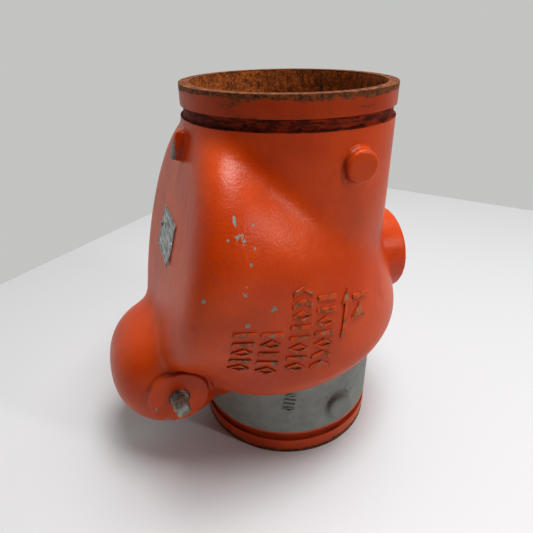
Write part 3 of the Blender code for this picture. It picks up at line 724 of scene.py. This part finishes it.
# Retainer screws: six hexagon heads with a washer face, driven up into the clapper.
for index in range(6):
    turn = math.tau * (index + 0.5) / 6
    spot = Matrix.Translation((0.070 * math.cos(turn), 0.070 * math.sin(turn), -0.0113))
    spot = spot @ Matrix.Rotation(0.7 * index, 4, "Z")
    screw = rod(0.0050, -0.0035, -0.0005, 6)
    rims = [edge for edge in screw.edges
            if all(vert.co.z < -0.0034 and vert.co.xy.length > 0.004 for vert in edge.verts)]
    bmesh.ops.bevel(screw, geom=rims, offset=0.0006, offset_type="OFFSET", affect="EDGES", segments=2,
                    profile=0.5, material=-1)
    for extra in (rod(0.0050, -0.0006, 0, 32, 0.0001), rod(0.0030, -0.0001, 0.0088, 24, 0.0004)):
        mesh = bpy.data.meshes.new("part")
        extra.to_mesh(mesh)
        extra.free()
        screw.from_mesh(mesh)
        bpy.data.meshes.remove(mesh)
    screw = finish_piece(f"retainer_hex_screw_{index + 1}", screw, stainless, body="disc",
                         slot="stainless_steel", matrix=DISC_AXIS @ spot)
    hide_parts(f"retainer_screw_{index + 1}")

# Clapper: an iron disc with a raised middle and a threaded stud, cast and then faced. Its upper side
# keeps the rough cast skin, and it has rusted darkly under a film of dirt.
iron, tree, shader = new_material("weathered_cast_iron", "#4a3a30", 0.7, 0.35)
place = add_node(tree, "TexCoord", output="Object")
crust = add_node(tree, "TexNoise", {"Vector": place, "Scale": per_mm(9), "Detail": 7, "Roughness": 0.72,
                                    "Distortion": 0.4})
rusted = add_node(tree, "MapRange", [crust, 0.48, 0.68], interpolation_type="SMOOTHSTEP")
colour = add_node(tree, "Mix", [rusted, linear("#3a322c"), linear("#7a4522")], data_type="RGBA")
tree.links.new(colour, shader.inputs["Base Color"])
pits = add_node(tree, "TexNoise", [place, per_mm(2.2), 3])
relief = add_node(tree, "Math", [crust, pits], operation="ADD")
bump = add_node(tree, "Bump", {"Height": relief, "Strength": 0.6, "Distance": 0.0007})
tree.links.new(bump, shader.inputs["Normal"])
outline = [(0, -0.0060), (0.1015, -0.0060), (0.1025, -0.0052), (0.1025, -0.0020), (0.1019, -0.0010),
           (0.1010, -0.0005), (0.0320, -0.0005), (0.0290, -0.0001), (0.0215, 0.0033), (0.0195, 0.0040),
           (0.0078, 0.0040)]
pitch = 0.0015
for turn in range(15):
    foot = 0.0045 + turn * pitch
    outline += [(0.0078, foot + 0.25 * pitch), (0.0070, foot + 0.75 * pitch)]
outline += [(0.0078, 0.0272), (0.0066, 0.0285), (0, 0.0285)]
disc = finish_piece("clapper_disc_cast", turned(outline, 128), iron, body="disc", slot="cast_iron",
                    matrix=DISC_AXIS)
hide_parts("clapper_disc")

# Arm: a drop forging. A hub rings the stud, a tapered beam carries it, and a fork of two knuckles
# turns on the pin. Every edge keeps the die's round.
arm = scratch("clapper_arm_forged", [
    placed(turned([(0.0081, 0.0043), (0.0220, 0.0043), (0.0220, 0.0160), (0.0081, 0.0160)], 64),
           TIPPED @ Matrix.Translation((REACH, 0, 0)))])
arm.data.materials.append(iron)
beam = bmesh.new()
side_view = [(REACH - 0.015, 0.0050), (0.0500, 0.0020), (0.0080, -0.0100), (0.0040, 0.0090), (0.0300, 0.0120),
             (0.0500, 0.0129), (REACH - 0.015, 0.0150)]
face = beam.faces.new([beam.verts.new((reach, -0.0268, lift)) for reach, lift in side_view])
grown = bmesh.ops.extrude_face_region(beam, geom=[face])["geom"]
bmesh.ops.translate(beam, vec=(0, 0.0536, 0), verts=[v for v in grown if isinstance(v, bmesh.types.BMVert)])
for vert in beam.verts:
    vert.co.y *= 1 - 0.45 * max(0, vert.co.x) / REACH
knuckles = placed(rod(0.0150, -0.0270, 0.0270, 64, 0.0008), TIPPED @ along_y((0, 0, 0)))
combine(arm, "UNION", [placed(beam, TIPPED), knuckles])
combine(arm, "DIFFERENCE", [placed(block((0.090, 0.020, 0.060), (0.010, 0, 0)), TIPPED)])
soft = arm.modifiers.new("soft", "REMESH")
soft.mode = "VOXEL"
soft.voxel_size = 0.0011
relax = arm.modifiers.new("relax", "SMOOTH")
relax.iterations = 5
thin = arm.modifiers.new("thin", "DECIMATE")
thin.ratio = 0.4
settle(arm)
combine(arm, "DIFFERENCE", [placed(rod(0.0103, -0.040, 0.040, 64), TIPPED @ along_y((0, 0, 0))),
                            placed(rod(0.0081, -0.01, 0.03, 48), TIPPED @ Matrix.Translation((REACH, 0, 0)))])
arm = finish_piece("clapper_arm_forged", take_shape(arm), iron, body="arm", slot="cast_iron", sharp=45)
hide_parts("clapper_arm")

# Slotted nut and cotter pin: the nut's crown has six slots, and the cotter passes through one pair
# and the stud, with its legs opened and bent back round the nut.
nut = scratch("disc_nut_slotted", [placed(rod(0.0138, 0.0183, 0.0265, 6), DISC_AXIS)])
nut.data.materials.append(stainless)
cone = turned([(0, 0.0150), (0.0123, 0.0179), (0.0140, 0.0195), (0.0140, 0.0252), (0.0124, 0.0266),
               (0, 0.0290)], 48)
combine(nut, "INTERSECT", [placed(cone, DISC_AXIS)])
combine(nut, "DIFFERENCE", [placed(rod(0.0081, 0.01, 0.04, 40), DISC_AXIS)])
for index in range(3):
    slot_cut = block((0.0036, 0.040, 0.0061), (0, 0, 0.0247))
    combine(nut, "DIFFERENCE", [placed(slot_cut, DISC_AXIS @ Matrix.Rotation(math.pi / 3 * index, 4, "Z"))])
nut = finish_piece("disc_nut_slotted", take_shape(nut), stainless, body="disc", slot="stainless_steel",
                   sharp=30)
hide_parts("disc_nut")


def wire(points, radius):
    """A round wire bent through the points, with closed ends."""
    spine = bpy.data.curves.new("spine", "CURVE")
    spine.dimensions = "3D"
    spine.bevel_depth = radius
    spine.bevel_resolution = 2
    spine.use_fill_caps = True
    spline = spine.splines.new("POLY")
    spline.points.add(len(points) - 1)
    for target, point in zip(spline.points, points):
        target.co = (*point, 1)
    item = bpy.data.objects.new("spine", spine)
    scene.collection.objects.link(item)
    bpy.context.view_layer.update()
    mesh = bpy.data.meshes.new_from_object(item.evaluated_get(bpy.context.evaluated_depsgraph_get()))
    shape = bmesh.new()
    shape.from_mesh(mesh)
    bpy.data.objects.remove(item, do_unlink=True)
    return shape


legs = bmesh.new()
for side in (-1, 1):
    leg = wire([(0.0006 * side, -0.0150, 0.0235), (0.0006 * side, 0.0140, 0.0235),
                (0.0016 * side, 0.0152, 0.0235), (0.0052 * side, 0.0160, 0.0233),
                (0.0095 * side, 0.0150, 0.0230), (0.0130 * side, 0.0115, 0.0228)], 0.0007)
    mesh = bpy.data.meshes.new("part")
    leg.to_mesh(mesh)
    leg.free()
    legs.from_mesh(mesh)
loop = [(0.0018 * math.sin(turn), -0.0168 - 0.0022 * math.cos(turn), 0.0235)
        for turn in [math.pi * (0.12 + 1.76 * step / 14) - math.pi for step in range(15)]]
eye = wire(loop, 0.0007)
mesh = bpy.data.meshes.new("part")
eye.to_mesh(mesh)
eye.free()
legs.from_mesh(mesh)
cotter = finish_piece("cotter_pin_bent", legs, stainless, body="disc", slot="stainless_steel",
                      matrix=DISC_AXIS)
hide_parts("cotter_pin")

# Torsion springs: round stainless wire wound close round the spacers, one each side of the arm. The
# inner leg bears on the arm, the outer leg on the barrel's wall, and the coil winds between them.
COIL_R, WIRE_R, TURNS = 0.01275, 0.0012, 5.5
for name, side in (("front", -1), ("rear", 1)):
    inner, outer = 0.0285 + WIRE_R, 0.0450 - WIRE_R
    points = []
    for reach in (0.030, 0.024, 0.016, 0.008):
        heading = Vector((math.cos(SEAT_TILT), 0, math.sin(SEAT_TILT)))
        across = Vector((-math.sin(SEAT_TILT), 0, math.cos(SEAT_TILT)))
        points.append(heading * reach + across * (COIL_R + 0.0006) + Vector((0, side * inner, 0)))
    first = math.radians(90) + SEAT_TILT
    for step in range(int(TURNS * 36) + 1):
        share = step / (TURNS * 36)
        angle = first + math.tau * TURNS * share
        points.append(Vector((COIL_R * math.cos(angle), side * (inner + (outer - inner) * share),
                              COIL_R * math.sin(angle))))
    last = first + math.tau * TURNS
    tangent = Vector((-math.sin(last), 0, math.cos(last)))
    foot = points[-1]
    points += [foot + tangent * reach for reach in (0.006, 0.014, 0.024, 0.032)]
    coil = wire([pin + point for point in points], WIRE_R)
    spring = finish_piece(f"torsion_spring_wound_{name}", coil, stainless, body=None,
                          slot="stainless_steel")
    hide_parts(f"torsion_spring_{name}")
    low, high = sorted((side * outer, side * inner))
    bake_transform(spring)

# Hinge plugs: square-head pipe plugs of black steel, turned up tight in the casting's ports. Wrenches
# and weather have worn the heads to a dull grey, with rust in the corners.
plug_steel, tree, shader = new_material("weathered_steel", "#5d5a50", 0.55, 0.55)
place = add_node(tree, "TexCoord", output="Object")
weather = add_node(tree, "TexNoise", [place, per_mm(6), 6, 0.7])
dulled = add_node(tree, "MapRange", [weather, 0.40, 0.62], interpolation_type="SMOOTHSTEP")
colour = add_node(tree, "Mix", [dulled, linear("#a8a69b"), linear("#7a776e")], data_type="RGBA")
red = add_node(tree, "TexNoise", [place, per_mm(9), 5, 0.7])
red = add_node(tree, "MapRange", [red, 0.60, 0.75, 0, 0.6], interpolation_type="SMOOTHSTEP")
colour = add_node(tree, "Mix", [red, colour, linear("#3d2518")], data_type="RGBA")
tree.links.new(colour, shader.inputs["Base Color"])
bump = add_node(tree, "Bump", {"Height": weather, "Strength": 0.7, "Distance": 0.0005})
tree.links.new(bump, shader.inputs["Normal"])
for name, side in (("front", -1), ("rear", 1)):
    outline = [(0, BOSS_FACE - 0.0098)]
    for turn in range(5):
        foot = BOSS_FACE - 0.0098 + turn * 0.0022
        outline += [(0.0099, foot), (0.0107, foot + 0.0008), (0.0107, foot + 0.0013), (0.0099, foot + 0.0021)]
    outline += [(0.0104, BOSS_FACE + 0.0018), (0.0104, BOSS_FACE + 0.0036), (0.0096, BOSS_FACE + 0.0045),
                (0, BOSS_FACE + 0.0045)]
    plug = scratch("plug", [placed(turned(outline, 48), along_y(pin, side))])
    plug.data.materials.append(plug_steel)
    head = block((0.0150, 0.0150, 0.0200), (0, 0, BOSS_FACE + 0.0105))
    bmesh.ops.bevel(head, geom=head.edges[:], offset=0.0016, offset_type="OFFSET", affect="EDGES", segments=3,
                    profile=0.5, material=-1)
    combine(plug, "UNION", [placed(head, along_y(pin, side) @ Matrix.Rotation(math.radians(20), 4, "Z"))])
    plug = finish_piece(f"hinge_plug_square_{name}", take_shape(plug), plug_steel, slot="plug_steel",
                        sharp=40)
    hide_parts(f"hinge_plug_{name}")

# Nameplate: thin aluminium sheet on two drive pins, with its own raised frame and blank data fields.
# Handling has lifted its lower corner and dulled it.
aluminium, tree, shader = new_material("anodised_aluminium", "#b4b7b5", 0.42, 0.6)
place = add_node(tree, "TexCoord", output="Object")
scuff = add_node(tree, "TexNoise", {"Vector": place, "Scale": per_mm(8), "Detail": 6, "Roughness": 0.7,
                                    "Distortion": 0.3})
worn_off = add_node(tree, "MapRange", [scuff, 0.44, 0.60], interpolation_type="SMOOTHSTEP")
colour = add_node(tree, "Mix", [worn_off, linear("#c3c6c4"), linear("#8d908e")], data_type="RGBA")
spatter = add_node(tree, "TexNoise", [place, per_mm(5), 4, 0.7])
spatter = add_node(tree, "MapRange", [spatter, 0.66, 0.72, 0, 0.7], interpolation_type="SMOOTHSTEP")
colour = add_node(tree, "Mix", [spatter, colour, linear("#4a2c20")], data_type="RGBA")
tree.links.new(colour, shader.inputs["Base Color"])
sheen = add_node(tree, "Math", [scuff, 0.3, 0.3], operation="MULTIPLY_ADD")
tree.links.new(sheen, shader.inputs["Roughness"])
bump = add_node(tree, "Bump", {"Height": scuff, "Strength": 0.25, "Distance": 0.0003})
tree.links.new(bump, shader.inputs["Normal"])
SLOPE = Matrix.Translation(pin) @ Matrix.Rotation(-SIDE_WALL_ANGLE, 4, "Y")
PLATE = SLOPE @ Matrix.Translation((0.1610, 0, SIDE_WALL_OFFSET + 0.0009))
plate = bmesh.new()
bmesh.ops.create_grid(plate, x_segments=30, y_segments=46, size=0.5,
                      matrix=Matrix.Diagonal((0.045, 0.070, 1, 1)))
fields = []
for face in plate.faces:
    spot = face.calc_center_median()
    row = int((spot.x + 0.0225) / 0.0015)
    column = int((spot.y + 0.0350) / 0.00152)
    frame_line = row in (1, 28) or column in (1, 44)
    field = row in (5, 6, 11, 12, 17, 18, 23, 24) and 5 < column < 40 and column not in (18, 19, 30)
    if frame_line or field:
        fields.append(face)
grown = bmesh.ops.extrude_face_region(plate, geom=fields)["geom"]
bmesh.ops.translate(plate, vec=(0, 0, 0.00025), verts=[v for v in grown if isinstance(v, bmesh.types.BMVert)])
for vert in plate.verts:
    lift = max(0, -vert.co.x - 0.008) / 0.0145
    curl = max(0, -vert.co.y - 0.022) / 0.013
    fade = 0.4 + 0.6 * min(1, max(0, 0.5 - vert.co.y / 0.07))
    vert.co.z += 0.0026 * lift ** 2 * fade + 0.0006 * curl ** 2
sheet = scratch("sheet", [plate])
gauge = sheet.modifiers.new("gauge", "SOLIDIFY")
gauge.thickness = 0.0007
settle(sheet)
plate = finish_piece("nameplate_sheet", take_shape(sheet), aluminium, slot="plate_aluminium", matrix=PLATE,
                     sharp=30)
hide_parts("nameplate")
for name, side in (("front", -1), ("rear", 1)):
    dome = turned([(0, -0.0010), (0.0014, -0.0010), (0.0014, 0.0010), (0.0030, 0.0010), (0.0029, 0.0016),
                   (0.0023, 0.0023), (0.0013, 0.0027), (0, 0.0028)], 32)
    pinhead = finish_piece(f"nameplate_drive_pin_{name}", dome, aluminium, slot="plate_aluminium",
                           matrix=PLATE @ Matrix.Translation((0, 0.031 * side, 0)))
    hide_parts(f"nameplate_pin_{name}")
